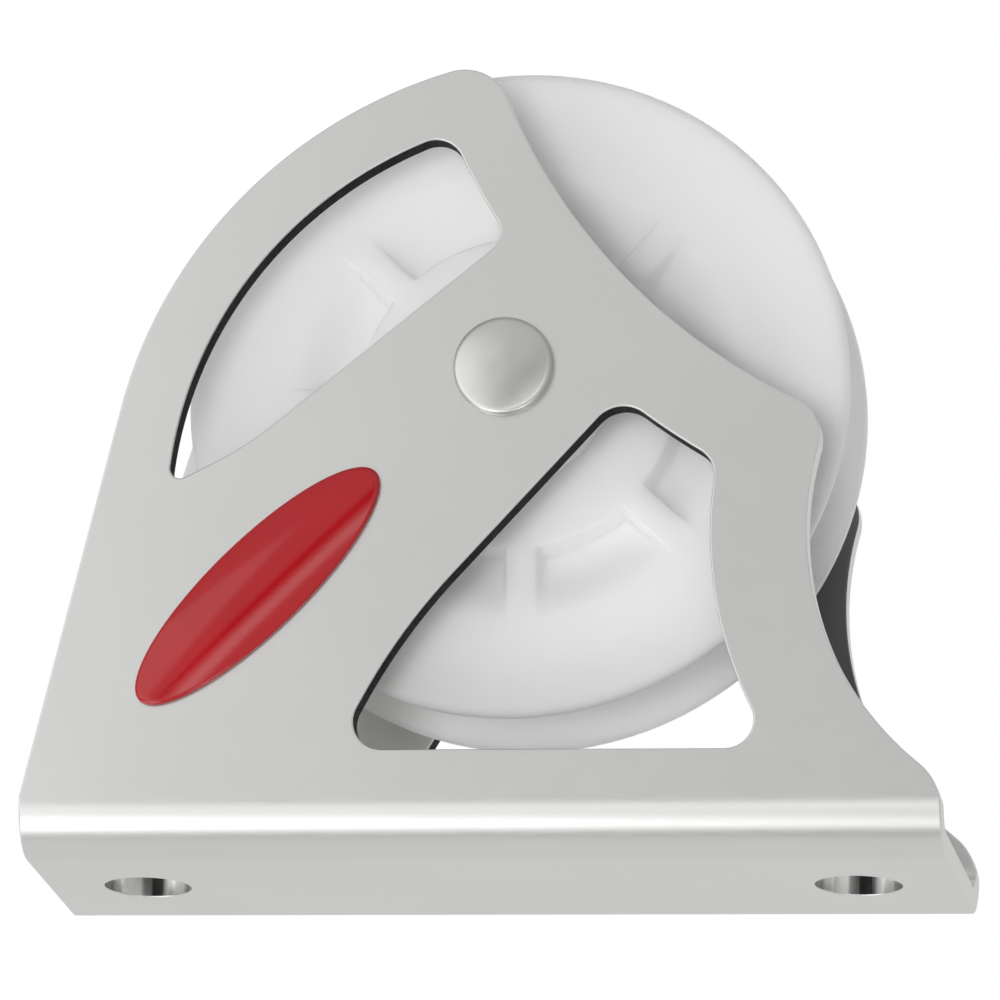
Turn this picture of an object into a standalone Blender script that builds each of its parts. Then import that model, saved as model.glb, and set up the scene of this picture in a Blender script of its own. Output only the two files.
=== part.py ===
"""Stand-up block: a grooved sheave between two cheeks that are folded up from one base plate.

Metres, +Z up. The origin is the middle of the base's underside. The near cheek faces -Y and
+X runs to the right as the near cheek is looked at.
"""

import math

import bmesh
import bpy
from mathutils import Vector

MM = 0.001

# Gaps between pieces: parts that are clamped together, and parts that turn on each other
SEAT_GAP = 0.3 * MM
RUNNING_GAP = 0.35 * MM

# One folded sheet: base plate and two cheeks
SHEET = 2.0 * MM
BASE_LENGTH = 68.6 * MM
FRAME_WIDTH = 25.5 * MM
BEND_R = 4.0 * MM
DECK_HOLE_D = 6.5 * MM
DECK_HOLE_SPACING = 53.6 * MM

# Axle, which the cheek outlines and windows are drawn around
AXLE_X = 0.9 * MM
AXLE_Z = 36.6 * MM

# Cheek outline: centres and radii of its edges, measured from the axle
CROWN_SHOULDER = (-19.47 * MM, 14.37 * MM)
CROWN_R = 34.6 * MM
NOSE_R = 3.6 * MM
NOSE_NEAR = (-3.95 * MM, 19.2 * MM)
SADDLE_CENTRE = (42.66 * MM, 39.48 * MM)
SADDLE_R = 46.9 * MM
SHOULDER_R = 3.2 * MM
SHOULDER_NEAR = (20.5 * MM, -5.4 * MM)
HEEL_CENTRE = (46.6 * MM, -12.0 * MM)
HEEL_R = 23.6 * MM
TOE_R = 4.5 * MM
TOE_NEAR = (28.9 * MM, -33.8 * MM)

# Upper window, inside the crown and the saddle
CROWN_BAND = 4.6 * MM
UPPER_SADDLE_BAND = 4.9 * MM
UPPER_SILL_OFFSET = 7.8 * MM
UPPER_SILL_ANGLE = math.radians(39.9)
UPPER_TAIL_OFFSET = 3.65 * MM
UPPER_TAIL_ANGLE = math.radians(27.5)
UPPER_TAIL_R = 24.0 * MM
UPPER_TAIL_NEAR = (-32.6 * MM, 14.2 * MM)
UPPER_TIP_R = 0.8 * MM
UPPER_TIP_NEAR = (-22.5 * MM, -6.8 * MM)
UPPER_TOP_R = 2.2 * MM
UPPER_TOP_NEAR = (-5.9 * MM, 15.5 * MM)
UPPER_END_R = 1.8 * MM
UPPER_END_NEAR = (-2.7 * MM, 10.2 * MM)

# Lower window, inside the saddle and the heel
LOWER_SADDLE_BAND = 6.8 * MM
HEEL_BAND = 7.2 * MM
LOWER_SILL_HEIGHT = 7.45 * MM
BROW_FOOT = (-10.6 * MM, -26.93 * MM)
BROW_FOOT_ANGLE = math.radians(63.0)
BROW_TOP = (6.35 * MM, -4.85 * MM)
BROW_TOP_ANGLE = math.radians(48.5)
BROW_BEND_R = 45.0 * MM
BROW_BEND_NEAR = (30.5 * MM, -45.3 * MM)
LOWER_TOP_R = 2.5 * MM
LOWER_TOP_NEAR = (8.9 * MM, -5.5 * MM)
LOWER_SHOULDER_R = 2.3 * MM
LOWER_SHOULDER_NEAR = (13.7 * MM, -8.4 * MM)
LOWER_HEEL_R = 2.1 * MM
LOWER_HEEL_NEAR = (17.5 * MM, -26.9 * MM)
LOWER_TOE_R = 2.2 * MM
LOWER_TOE_NEAR = (-8.4 * MM, -27.0 * MM)

# Shouldered axle rivet: barrel between the cheeks, neck through them, domed heads outside
BARREL_R = 5.0 * MM
NECK_R = 2.75 * MM
HEAD_R = 3.8 * MM
HEAD_EDGE = 0.3 * MM
HEAD_HEIGHT = 1.3 * MM

# Sheave: turned shape with ribs across its dished sides
SHEAVE_R = 25.0 * MM
RIM_WIDTH = 12.0 * MM
LIP_R = 0.7 * MM
BOSS_R = 7.0 * MM
HUB_RING_R = 12.1 * MM
POCKET_OUTER_R = 17.7 * MM
POCKET_DEPTH = 2.2 * MM
POCKET_WALL_RUN = 0.3 * MM
RIB_COUNT = 8
RIB_WIDTH = 2.2 * MM
RIB_SET_BACK = 0.1 * MM
RIB_FIRST_ANGLE = math.radians(3.0)

# Domed oval badge on the near cheek, placed from the base's left end and underside
BADGE_FROM_END = 17.35 * MM
BADGE_FROM_BASE = 19.9 * MM
BADGE_LENGTH = 24.4 * MM
BADGE_WIDTH = 7.05 * MM
BADGE_ANGLE = math.radians(45.6)
BADGE_EDGE = 0.4 * MM
BADGE_HEIGHT = 1.1 * MM

# Fineness of the faceted shapes
ARC_SAG = 0.03 * MM
TURN_STEPS = 64
PIN_STEPS = 32
BADGE_STEPS = 48
POCKET_STEPS = 4
DOME_STEPS = 4
OVERCUT = 5.0 * MM

INNER_HALF = FRAME_WIDTH / 2 - SHEET


class Arc:
    """An outline edge that follows a circle."""

    def __init__(self, centre, radius):
        self.centre = Vector(centre)
        self.radius = radius

    def offset(self, point):
        out = point - self.centre
        return out.length - self.radius, out.normalized()

    def run(self, start, end):
        return arc_points(self.centre, start, end)


class Line:
    """A straight outline edge through a point, at an angle up from +X."""

    def __init__(self, point, angle):
        self.point = Vector(point)
        self.normal = Vector((-math.sin(angle), math.cos(angle)))

    def offset(self, point):
        return (point - self.point).dot(self.normal), self.normal

    def run(self, start, end):
        return [start]


def arc_points(centre, start, end):
    """Points from start up to, but without, end, the short way around centre."""
    arm = start - centre
    turn = math.remainder(
        math.atan2(end.y - centre.y, end.x - centre.x) - math.atan2(arm.y, arm.x), math.tau)
    step = 2 * math.acos(max(0.0, 1 - ARC_SAG / arm.length))
    count = max(2, math.ceil(abs(turn) / step))
    points = []
    for i in range(count):
        angle = turn * i / count
        cos, sin = math.cos(angle), math.sin(angle)
        points.append(centre + Vector((arm.x * cos - arm.y * sin, arm.x * sin + arm.y * cos)))
    return points


def offset_line(offset, angle):
    """Straight edge at an angle, whose distance from the axle is offset, on its upper side."""
    return Line(Vector((-math.sin(angle), math.cos(angle))) * offset, angle)


def rounding(first, second, radius, near):
    """Centre of the circle that touches both edges on near's side, and where it touches them."""
    centre = Vector(near)
    sides = [math.copysign(radius, edge.offset(centre)[0]) for edge in (first, second)]
    for _ in range(20):
        (gap_a, way_a), (gap_b, way_b) = first.offset(centre), second.offset(centre)
        miss_a, miss_b = sides[0] - gap_a, sides[1] - gap_b
        scale = way_a.x * way_b.y - way_a.y * way_b.x
        centre += Vector((miss_a * way_b.y - miss_b * way_a.y,
                          miss_b * way_a.x - miss_a * way_b.x)) / scale
    touches = [centre - edge.offset(centre)[1] * side
               for edge, side in zip((first, second), sides)]
    return centre, touches[0], touches[1]


def traced(edges, corners, start):
    """Points along a row of edges whose corners are rounded, and the point that it ends at."""
    points = []
    at = start
    for edge, following, (radius, near) in zip(edges, edges[1:], corners):
        centre, leave, join = rounding(edge, following, radius, near)
        points += edge.run(at, leave) + arc_points(centre, leave, join)
        at = join
    return points, at


def closed_outline(edges, corners):
    """Outline whose last edge runs back into its first."""
    radius, near = corners[-1]
    start = rounding(edges[-1], edges[0], radius, near)[2]
    return traced(edges + edges[:1], corners, start)[0]


def crown_centre():
    """The crown's centre, from the point of the crown at its upper left, at 45 degrees."""
    return Vector(CROWN_SHOULDER) + Vector((1, -1)).normalized() * CROWN_R


def cheek_outline():
    """Outline of both cheeks and the base, seen along +Y, with the axle at (0, 0)."""
    crown = Arc(crown_centre(), CROWN_R)
    saddle = Arc(SADDLE_CENTRE, SADDLE_R)
    heel = Arc(HEEL_CENTRE, HEEL_R)
    right_x = BASE_LENGTH / 2 - AXLE_X
    left_x = -BASE_LENGTH / 2 - AXLE_X
    below = -AXLE_Z - OVERCUT
    right_end = Line((right_x, below), math.pi / 2)
    bend_top = Vector((left_x, BEND_R - AXLE_Z))
    to_crown = crown.centre - bend_top
    lean = math.atan2(to_crown.y, to_crown.x) + math.asin(CROWN_R / to_crown.length)
    tangent = math.sqrt(to_crown.length ** 2 - CROWN_R ** 2)
    crown_start = bend_top + tangent * Vector((math.cos(lean), math.sin(lean)))
    edges = [crown, saddle, heel, right_end]
    corners = [(NOSE_R, NOSE_NEAR), (SHOULDER_R, SHOULDER_NEAR), (TOE_R, TOE_NEAR)]
    points, toe = traced(edges, corners, crown_start)
    return [Vector((left_x, below)), bend_top] + points + [toe, Vector((right_x, below))]


def upper_window_outline():
    sill = offset_line(UPPER_SILL_OFFSET, UPPER_SILL_ANGLE)
    tail = offset_line(UPPER_TAIL_OFFSET, UPPER_TAIL_ANGLE)
    crown = Arc(crown_centre(), CROWN_R - CROWN_BAND)
    saddle = Arc(SADDLE_CENTRE, SADDLE_R + UPPER_SADDLE_BAND)
    corners = [(UPPER_TOP_R, UPPER_TOP_NEAR), (UPPER_END_R, UPPER_END_NEAR),
               (UPPER_TAIL_R, UPPER_TAIL_NEAR), (UPPER_TIP_R, UPPER_TIP_NEAR)]
    return closed_outline([crown, saddle, sill, tail], corners)


def lower_window_outline():
    sill = Line((0, LOWER_SILL_HEIGHT - AXLE_Z), 0.0)
    brow_foot = Line(BROW_FOOT, BROW_FOOT_ANGLE)
    brow_top = Line(BROW_TOP, BROW_TOP_ANGLE)
    saddle = Arc(SADDLE_CENTRE, SADDLE_R + LOWER_SADDLE_BAND)
    heel = Arc(HEEL_CENTRE, HEEL_R + HEEL_BAND)
    corners = [(BROW_BEND_R, BROW_BEND_NEAR), (LOWER_TOP_R, LOWER_TOP_NEAR),
               (LOWER_SHOULDER_R, LOWER_SHOULDER_NEAR), (LOWER_HEEL_R, LOWER_HEEL_NEAR),
               (LOWER_TOE_R, LOWER_TOE_NEAR)]
    return closed_outline([brow_foot, brow_top, saddle, heel, sill], corners)


def channel_section():
    """Section of the folded sheet in Y and Z, with the axle's height as zero."""
    outer, inner = FRAME_WIDTH / 2, INNER_HALF
    floor, top = -AXLE_Z, SHEAVE_R + OVERCUT
    inner_bend = BEND_R - SHEET
    left_bend = Vector((BEND_R - outer, floor + BEND_R))
    right_bend = Vector((outer - BEND_R, floor + BEND_R))
    down, side = Vector((0, -1)), Vector((1, 0))
    points = [Vector((-outer, top))]
    points += arc_points(left_bend, left_bend - side * BEND_R, left_bend + down * BEND_R)
    points.append(left_bend + down * BEND_R)
    points += arc_points(right_bend, right_bend + down * BEND_R, right_bend + side * BEND_R)
    points += [right_bend + side * BEND_R, Vector((outer, top)), Vector((inner, top))]
    points += arc_points(right_bend, right_bend + side * inner_bend, right_bend + down * inner_bend)
    points.append(right_bend + down * inner_bend)
    points += arc_points(left_bend, left_bend + down * inner_bend, left_bend - side * inner_bend)
    points += [left_bend - side * inner_bend, Vector((-inner, top))]
    return points


def clear_scene():
    for obj in list(bpy.data.objects):
        bpy.data.objects.remove(obj, do_unlink=True)


def make_material(name, colour, roughness, metallic):
    material = bpy.data.materials.new(name)
    material.use_nodes = True
    shader = material.node_tree.nodes["Principled BSDF"]
    shader.inputs["Base Color"].default_value = (*colour, 1.0)
    shader.inputs["Roughness"].default_value = roughness
    shader.inputs["Metallic"].default_value = metallic
    return material


def add_object(name, bm, place=(0, 0, 0)):
    """Close the bmesh's normals outward and link it as a smooth-shaded object."""
    bmesh.ops.recalc_face_normals(bm, faces=bm.faces)
    mesh = bpy.data.meshes.new(name)
    bm.to_mesh(mesh)
    bm.free()
    mesh.shade_smooth()
    mesh.set_sharp_from_angle(angle=math.radians(35))
    obj = bpy.data.objects.new(name, mesh)
    obj.location = place
    bpy.context.scene.collection.objects.link(obj)
    return obj


def extruded(name, points, along, place):
    """Solid whose section is a closed outline, pushed along a vector."""
    bm = bmesh.new()
    face = bm.faces.new([bm.verts.new(p) for p in points])
    pushed = bmesh.ops.extrude_face_region(bm, geom=[face], use_keep_orig=True)
    moved = [item for item in pushed["geom"] if isinstance(item, bmesh.types.BMVert)]
    bmesh.ops.translate(bm, vec=along, verts=moved)
    return add_object(name, bm, place)


def side_prism(name, outline):
    """Prism across the whole frame from an outline in X and Z about the axle."""
    reach = FRAME_WIDTH / 2 + OVERCUT
    points = [(p.x, -reach, p.y) for p in outline]
    return extruded(name, points, Vector((0, 2 * reach, 0)), (AXLE_X, 0, AXLE_Z))


def cylinder(name, radius, length, place, across):
    """Cylinder about its place, upright or lying across the frame."""
    ring = [Vector((math.cos(a), math.sin(a))) * radius
            for a in (math.tau * i / PIN_STEPS for i in range(PIN_STEPS))]
    if across:
        points = [(p.x, -length / 2, p.y) for p in ring]
        return extruded(name, points, Vector((0, length, 0)), place)
    points = [(p.x, p.y, -length / 2) for p in ring]
    return extruded(name, points, Vector((0, 0, length)), place)


def combine(obj, tool, operation):
    """Boolean obj with a hidden tool object."""
    tool.hide_render = True
    tool.display_type = "WIRE"
    modifier = obj.modifiers.new(tool.name, "BOOLEAN")
    modifier.operation = operation
    modifier.solver = "EXACT"
    modifier.object = tool


def turned(name, profile, steps, place, capped):
    """Solid turned about Y from a profile of (radius, y) points, shut on the axis if capped."""
    bm = bmesh.new()
    verts = [bm.verts.new((radius, y, 0)) for radius, y in profile]
    edges = [bm.edges.new(pair) for pair in zip(verts, verts[1:])]
    if not capped:
        edges.append(bm.edges.new((verts[-1], verts[0])))
    bmesh.ops.spin(bm, geom=verts + edges, cent=(0, 0, 0), axis=(0, 1, 0),
                   angle=math.tau, steps=steps, use_merge=True)
    bmesh.ops.remove_doubles(bm, verts=bm.verts, dist=0.001 * MM)
    return add_object(name, bm, place)


def dome_profile(edge_r, height, steps):
    """(radius, rise) points of a shallow dome from its edge to its crown."""
    ball_r = (edge_r ** 2 + height ** 2) / (2 * height)
    half = math.asin(edge_r / ball_r)
    angles = [half * (1 - i / steps) for i in range(steps + 1)]
    return [(ball_r * math.sin(a), ball_r * (math.cos(a) - math.cos(half))) for a in angles]


def build_frame():
    length = BASE_LENGTH + 2 * OVERCUT
    section = [(-length / 2, p.x, p.y) for p in channel_section()]
    frame = extruded("frame", section, Vector((length, 0, 0)), (0, 0, AXLE_Z))
    combine(frame, side_prism("cheek_blank", cheek_outline()), "INTERSECT")
    combine(frame, side_prism("upper_window", upper_window_outline()), "DIFFERENCE")
    combine(frame, side_prism("lower_window", lower_window_outline()), "DIFFERENCE")
    axle_hole = cylinder("axle_hole", NECK_R + SEAT_GAP, FRAME_WIDTH + 2 * OVERCUT,
                         (AXLE_X, 0, AXLE_Z), True)
    combine(frame, axle_hole, "DIFFERENCE")
    for name, side in (("left_deck_hole", -1), ("right_deck_hole", 1)):
        hole = cylinder(name, DECK_HOLE_D / 2, SHEET + OVERCUT,
                        (side * DECK_HOLE_SPACING / 2, 0, 0), False)
        combine(frame, hole, "DIFFERENCE")
    frame.data.materials.append(make_material("stainless", (0.52, 0.52, 0.51), 0.35, 1.0))


def build_axle_rivet():
    """Half profile from the middle of the far head outward, then mirrored to the near one."""
    barrel_end = INNER_HALF - SEAT_GAP
    head_seat = FRAME_WIDTH / 2 + SEAT_GAP
    half = [(BARREL_R, barrel_end), (NECK_R, barrel_end), (NECK_R, head_seat), (HEAD_R, head_seat)]
    half += [(radius, head_seat + HEAD_EDGE + rise)
             for radius, rise in dome_profile(HEAD_R, HEAD_HEIGHT - HEAD_EDGE, DOME_STEPS)]
    profile = [(radius, -y) for radius, y in reversed(half)] + half
    rivet = turned("axle_rivet", profile, PIN_STEPS, (AXLE_X, 0, AXLE_Z), True)
    rivet.data.materials.append(make_material("rivet_steel", (0.6, 0.6, 0.6), 0.25, 1.0))


def sheave_half_profile():
    """(radius, y) points from the bore, over the hub and dished side, to the groove's root."""
    face = RIM_WIDTH / 2
    boss_end = INNER_HALF - RUNNING_GAP
    groove_r = face - 2 * LIP_R
    lip_centre_r = SHEAVE_R - LIP_R
    points = [(BARREL_R + RUNNING_GAP, boss_end), (BOSS_R, boss_end), (BOSS_R, face),
              (HUB_RING_R, face)]
    floor_r = HUB_RING_R + POCKET_WALL_RUN
    for i in range(POCKET_STEPS + 1):
        share = i / POCKET_STEPS
        depth = POCKET_DEPTH * (1 + math.cos(math.pi * share)) / 2
        points.append((floor_r + (POCKET_OUTER_R - floor_r) * share, face - depth))
    for i in range(5):
        angle = math.pi * i / 4
        points.append((lip_centre_r + LIP_R * math.sin(angle),
                       face - LIP_R + LIP_R * math.cos(angle)))
    for i in range(1, 7):
        angle = math.pi / 2 * i / 6
        points.append((lip_centre_r - groove_r * math.sin(angle), groove_r * math.cos(angle)))
    return points


def build_ribs():
    """Bars that bridge the dish on both sides, from inside the hub ring to past the dish."""
    inner_r = (BOSS_R + HUB_RING_R) / 2
    outer_r = POCKET_OUTER_R + RIB_WIDTH / 4
    half_y = RIM_WIDTH / 2 - RIB_SET_BACK
    bm = bmesh.new()
    for i in range(RIB_COUNT):
        angle = RIB_FIRST_ANGLE + math.tau * i / RIB_COUNT
        along = Vector((math.cos(angle), 0, math.sin(angle)))
        across = Vector((-math.sin(angle), 0, math.cos(angle))) * RIB_WIDTH / 2
        low = Vector((0, -half_y, 0))
        corners = [along * inner_r - across, along * outer_r - across,
                   along * outer_r + across, along * inner_r + across]
        face = bm.faces.new([bm.verts.new(corner + low) for corner in corners])
        pushed = bmesh.ops.extrude_face_region(bm, geom=[face], use_keep_orig=True)
        moved = [item for item in pushed["geom"] if isinstance(item, bmesh.types.BMVert)]
        bmesh.ops.translate(bm, vec=Vector((0, 2 * half_y, 0)), verts=moved)
    return add_object("sheave_ribs", bm, (AXLE_X, 0, AXLE_Z))


def build_sheave():
    half = sheave_half_profile()
    profile = half + [(radius, -y) for radius, y in reversed(half[:-1])]
    sheave = turned("sheave", profile, TURN_STEPS, (AXLE_X, 0, AXLE_Z), False)
    combine(sheave, build_ribs(), "UNION")
    sheave.data.materials.append(make_material("white_plastic", (0.8, 0.8, 0.8), 0.5, 0.0))


def build_badge():
    """Oval rings that rise from the cheek into a dome."""
    outward = [(1.0, 0.0)]
    outward += [(radius, BADGE_EDGE + rise)
                for radius, rise in dome_profile(1.0, BADGE_HEIGHT - BADGE_EDGE, DOME_STEPS)]
    bm = bmesh.new()
    rings = []
    for size, rise in outward[:-1]:
        ring = []
        for i in range(BADGE_STEPS):
            angle = math.tau * i / BADGE_STEPS
            u = size * BADGE_LENGTH / 2 * math.cos(angle)
            v = size * BADGE_WIDTH / 2 * math.sin(angle)
            x = u * math.cos(BADGE_ANGLE) - v * math.sin(BADGE_ANGLE)
            z = u * math.sin(BADGE_ANGLE) + v * math.cos(BADGE_ANGLE)
            ring.append(bm.verts.new((x, -rise, z)))
        rings.append(ring)
    for lower, upper in zip(rings, rings[1:]):
        for i in range(BADGE_STEPS):
            j = (i + 1) % BADGE_STEPS
            bm.faces.new((lower[i], lower[j], upper[j], upper[i]))
    bm.faces.new(rings[0])
    bm.faces.new(rings[-1])
    place = (BADGE_FROM_END - BASE_LENGTH / 2, -FRAME_WIDTH / 2 - SEAT_GAP, BADGE_FROM_BASE)
    badge = add_object("badge", bm, place)
    badge.data.materials.append(make_material("red_badge", (0.45, 0.02, 0.03), 0.2, 0.0))


def main():
    clear_scene()
    build_frame()
    build_axle_rivet()
    build_sheave()
    build_badge()


main()
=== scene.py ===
"""Looks of the stand-up block: a folded steel frame, a moulded sheave, a rivet and a badge."""

import math

import bmesh
import bpy
from mathutils import Matrix, Vector
from mathutils.kdtree import KDTree


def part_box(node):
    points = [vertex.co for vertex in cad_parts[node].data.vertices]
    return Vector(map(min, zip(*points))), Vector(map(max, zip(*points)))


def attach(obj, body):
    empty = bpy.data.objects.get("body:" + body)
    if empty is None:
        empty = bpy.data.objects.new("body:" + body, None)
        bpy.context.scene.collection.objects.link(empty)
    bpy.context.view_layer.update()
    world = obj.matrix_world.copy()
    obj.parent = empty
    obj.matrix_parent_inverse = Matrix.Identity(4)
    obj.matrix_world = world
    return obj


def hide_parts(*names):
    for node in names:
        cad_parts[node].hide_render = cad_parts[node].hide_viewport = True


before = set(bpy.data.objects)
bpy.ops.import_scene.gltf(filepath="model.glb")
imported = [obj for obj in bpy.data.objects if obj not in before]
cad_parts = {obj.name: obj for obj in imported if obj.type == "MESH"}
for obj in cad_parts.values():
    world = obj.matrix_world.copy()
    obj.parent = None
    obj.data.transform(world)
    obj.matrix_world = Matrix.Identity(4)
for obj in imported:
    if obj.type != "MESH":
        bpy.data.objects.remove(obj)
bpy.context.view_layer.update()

MM = 0.001

# Folded sheet
SHEET = 2.0 * MM
BEND_R = 4.0 * MM
EDGE_ROUND = 0.13 * MM
DECK_HOLE_R = 3.25 * MM
DECK_HOLE_SPACING = 53.6 * MM

# Axle and cheek outline, whose centres are measured from the axle
AXLE = Vector((0.9 * MM, 36.6 * MM))
CROWN_CENTRE = (5.0 * MM, -10.1 * MM)
CROWN_R = 34.6 * MM
NOSE_R = 3.6 * MM
NOSE_NEAR = (-3.95 * MM, 19.2 * MM)
SADDLE_CENTRE = (42.66 * MM, 39.48 * MM)
SADDLE_R = 46.9 * MM
SHOULDER_R = 3.2 * MM
SHOULDER_NEAR = (20.5 * MM, -5.4 * MM)
HEEL_CENTRE = (46.6 * MM, -12.0 * MM)
HEEL_R = 23.6 * MM
TOE_R = 4.5 * MM
TOE_NEAR = (28.9 * MM, -33.8 * MM)

# Upper window, whose straight sill bends down to its tail
CROWN_BAND = 4.6 * MM
UPPER_SADDLE_BAND = 4.9 * MM
UPPER_SILL_OFFSET = 7.8 * MM
UPPER_SILL_ANGLE = math.radians(39.9)
UPPER_TAIL_OFFSET = 3.65 * MM
UPPER_TAIL_ANGLE = math.radians(27.5)
UPPER_CORNERS = ((2.2 * MM, (-5.9 * MM, 15.5 * MM)),
                 (1.8 * MM, (-2.7 * MM, 10.2 * MM)),
                 (24.0 * MM, (-32.6 * MM, 14.2 * MM)),
                 (0.8 * MM, (-22.5 * MM, -6.8 * MM)))

# Lower window, whose brow is two straight runs with a wide bend between them
LOWER_SADDLE_BAND = 6.8 * MM
HEEL_BAND = 7.2 * MM
LOWER_SILL_HEIGHT = 7.45 * MM
BROW_FOOT = (-10.6 * MM, -26.93 * MM)
BROW_FOOT_ANGLE = math.radians(63.0)
BROW_TOP = (6.35 * MM, -4.85 * MM)
BROW_TOP_ANGLE = math.radians(48.5)
LOWER_CORNERS = ((45.0 * MM, (30.5 * MM, -45.3 * MM)),
                 (2.5 * MM, (8.9 * MM, -5.5 * MM)),
                 (2.3 * MM, (13.7 * MM, -8.4 * MM)),
                 (2.1 * MM, (17.5 * MM, -26.9 * MM)),
                 (2.2 * MM, (-8.4 * MM, -27.0 * MM)))

# Rivet
NECK_R = 2.75 * MM
HEAD_R = 3.8 * MM
HEAD_HEIGHT = 1.02 * MM
HEAD_EDGE = 0.2 * MM
HEAD_SHOULDER_R = 0.5 * MM
HEAD_SHOULDER_END = math.radians(76)
HEAD_FOOT_R = 0.08 * MM

# Sheave, whose pockets have a wall next to the hub ring and a floor that rises outwards
SHEAVE_R = 25.0 * MM
RIM_WIDTH = 12.0 * MM
LIP_R = 0.7 * MM
BORE_R = 5.35 * MM
BOSS_R = 7.0 * MM
BOSS_END = 10.4 * MM
HUB_RING_R = 12.1 * MM
POCKET_OUTER_R = 17.7 * MM
POCKET_DEPTH = 2.2 * MM
RIB_COUNT = 8
RIB_WIDTH = 2.2 * MM
RIB_FIRST_ANGLE = math.radians(3.0)
SOFT_EDGE = 0.3 * MM
BOSS_EASE = 0.3 * MM
WALL_START = HUB_RING_R - SOFT_EDGE / 2
WALL_END = HUB_RING_R + SOFT_EDGE
FLOOR_START = HUB_RING_R + 1.2 * SOFT_EDGE

# Badge, placed from the base's left end and underside
BADGE_FROM_END = 17.35 * MM
BADGE_FROM_BASE = 19.9 * MM
BADGE_LENGTH = 24.4 * MM
BADGE_WIDTH = 7.05 * MM
BADGE_ANGLE = math.radians(45.6)
BADGE_EDGE = 0.35 * MM
BADGE_WALL = 0.7 * BADGE_EDGE
BADGE_DOME_SHARE = 0.995
BADGE_HEIGHT = 1.1 * MM

# Camera: how it looks at the axle on the near cheek's face, and where that point is in the photo
CAMERA_AZIMUTH = math.radians(9.466)
CAMERA_ELEVATION = math.radians(-15.055)
CAMERA_ROLL = math.radians(2.015)
CAMERA_DISTANCE = 787.9 * MM
FOCAL_PIXELS = 10618
AXLE_PIXEL = Vector((503.6, 367.2))
PHOTO_SIZE = 1000
SENSOR = 36.0
CLIP_START = 0.01

# How finely the shapes are drawn
ARC_SAG = 0.004 * MM
ARC_STEPS_LEAST = 6
ROUNDING_TRIES = 20
HOLE_STEPS = 96
EDGE_STEPS = 2
BEND_CUTS = 14
MERGE_GAP = 0.001 * MM
SHARP_ANGLE = math.radians(40)
TURNED_STEPS = 96
BADGE_STEPS = 128
DOME_STEPS = 20
BADGE_DOME_STEPS = 24
FOOT_STEPS = 4
SHOULDER_STEPS = 8
RIB_SHARES = (0, 0.5, 0.9, 1.0)
RIB_EDGE_STEPS = 5
OPEN_STEPS = 8
EASE_STEPS = 3
WALL_STEPS = 6
POCKET_STEPS = 20
FACE_STEPS = 4
LIP_STEPS = 14
GROOVE_STEPS = 18

# Levels between which noise mostly stays
NOISE_LOW, NOISE_HIGH = 0.3, 0.7

# Finishes of the frame's faces, as places in its list of materials
PLAIN_FACE, SHADED_CUT_WALL, BORED_WALL = 0, 1, 2

# Faces of the blank whose normals rise no more than this are walls
WALL_LEAN = 0.1

# Window walls are painted dark, as shade, where they face the side that lies this far right of
# straight down
SHADE_ANGLE = math.radians(36)

# Painted shade on the cheeks' insides: they darken between these heights, and between these places
# along X
INSIDE_SHADE_COLOUR = (0.14, 0.14, 0.14, 1.0)
INSIDE_SHADE_HEIGHTS = (9.0 * MM, 16.0 * MM)
INSIDE_SHADE_RIGHTWARD = (-6.0 * MM, 16.0 * MM)

# Walls of the deck holes: a painted reflection, levels by how far a wall faces sideways, moved by
# upright streaks
BORE_REFLECTION_STOPS = ((0.38, 0.05), (0.68, 0.95), (0.95, 0.95), (1.0, 0.7))
BORE_REFLECTION_BLUE = 0.98
STREAK_SHARE = 0.5

# Colours of the surfaces
STEEL = (0.7, 0.7, 0.69)
STEEL_TONES = ((0.695, 0.70, 0.68), (0.71, 0.71, 0.70))
# Near black of the window walls: partly their own dark cut edge, partly painted shade
SHADED_CUT_BLACK = (0.008, 0.008, 0.008)
RIVET_STEEL = (0.59, 0.59, 0.58)
RIVET_TONES = ((0.56, 0.56, 0.545), (0.62, 0.62, 0.61))
PLASTIC_WHITE = (0.94, 0.94, 0.935)
BADGE_RED = (0.43, 0.006, 0.011)
BADGE_TONES = ((0.42, 0.006, 0.010), (0.45, 0.007, 0.012))
FLOOR_WHITE = (0.93, 0.93, 0.93)

# What metal and everything else see of the world, from front (0) to back (1)
STUDIO_STOPS = ((0.24, 0.69), (0.34, 0.22), (0.46, 0.78))
SOFT_STOPS = ((0.35, 0.18), (0.50, 0.50))

# Floor, and where and how the lamps point
FLOOR_SIZE = 12.0
FLOOR_DROP = 0.1 * MM
FLOOR_GLOW = 0.3
BLOCK_MIDDLE = Vector((0, 0, 0.03))
ALONG_BADGE = math.radians(-45)

# Half the frame's length and half its width
FRAME_LOW, FRAME_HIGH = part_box("frame")
BASE_HALF = (FRAME_HIGH[0] - FRAME_LOW[0]) / 2
WIDTH_HALF = (FRAME_HIGH[1] - FRAME_LOW[1]) / 2


class Arc:
    """An outline edge that follows a circle."""

    def __init__(self, centre, radius):
        self.centre = Vector(centre)
        self.radius = radius

    def offset(self, point):
        out = point - self.centre
        return out.length - self.radius, out.normalized()

    def run(self, start, end):
        return arc_points(self.centre, start, end)


class Line:
    """A straight outline edge through a point, at an angle up from +X."""

    def __init__(self, point, angle):
        self.point = Vector(point)
        self.normal = Vector((-math.sin(angle), math.cos(angle)))

    def offset(self, point):
        return (point - self.point).dot(self.normal), self.normal

    def run(self, start, end):
        return [start]


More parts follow.
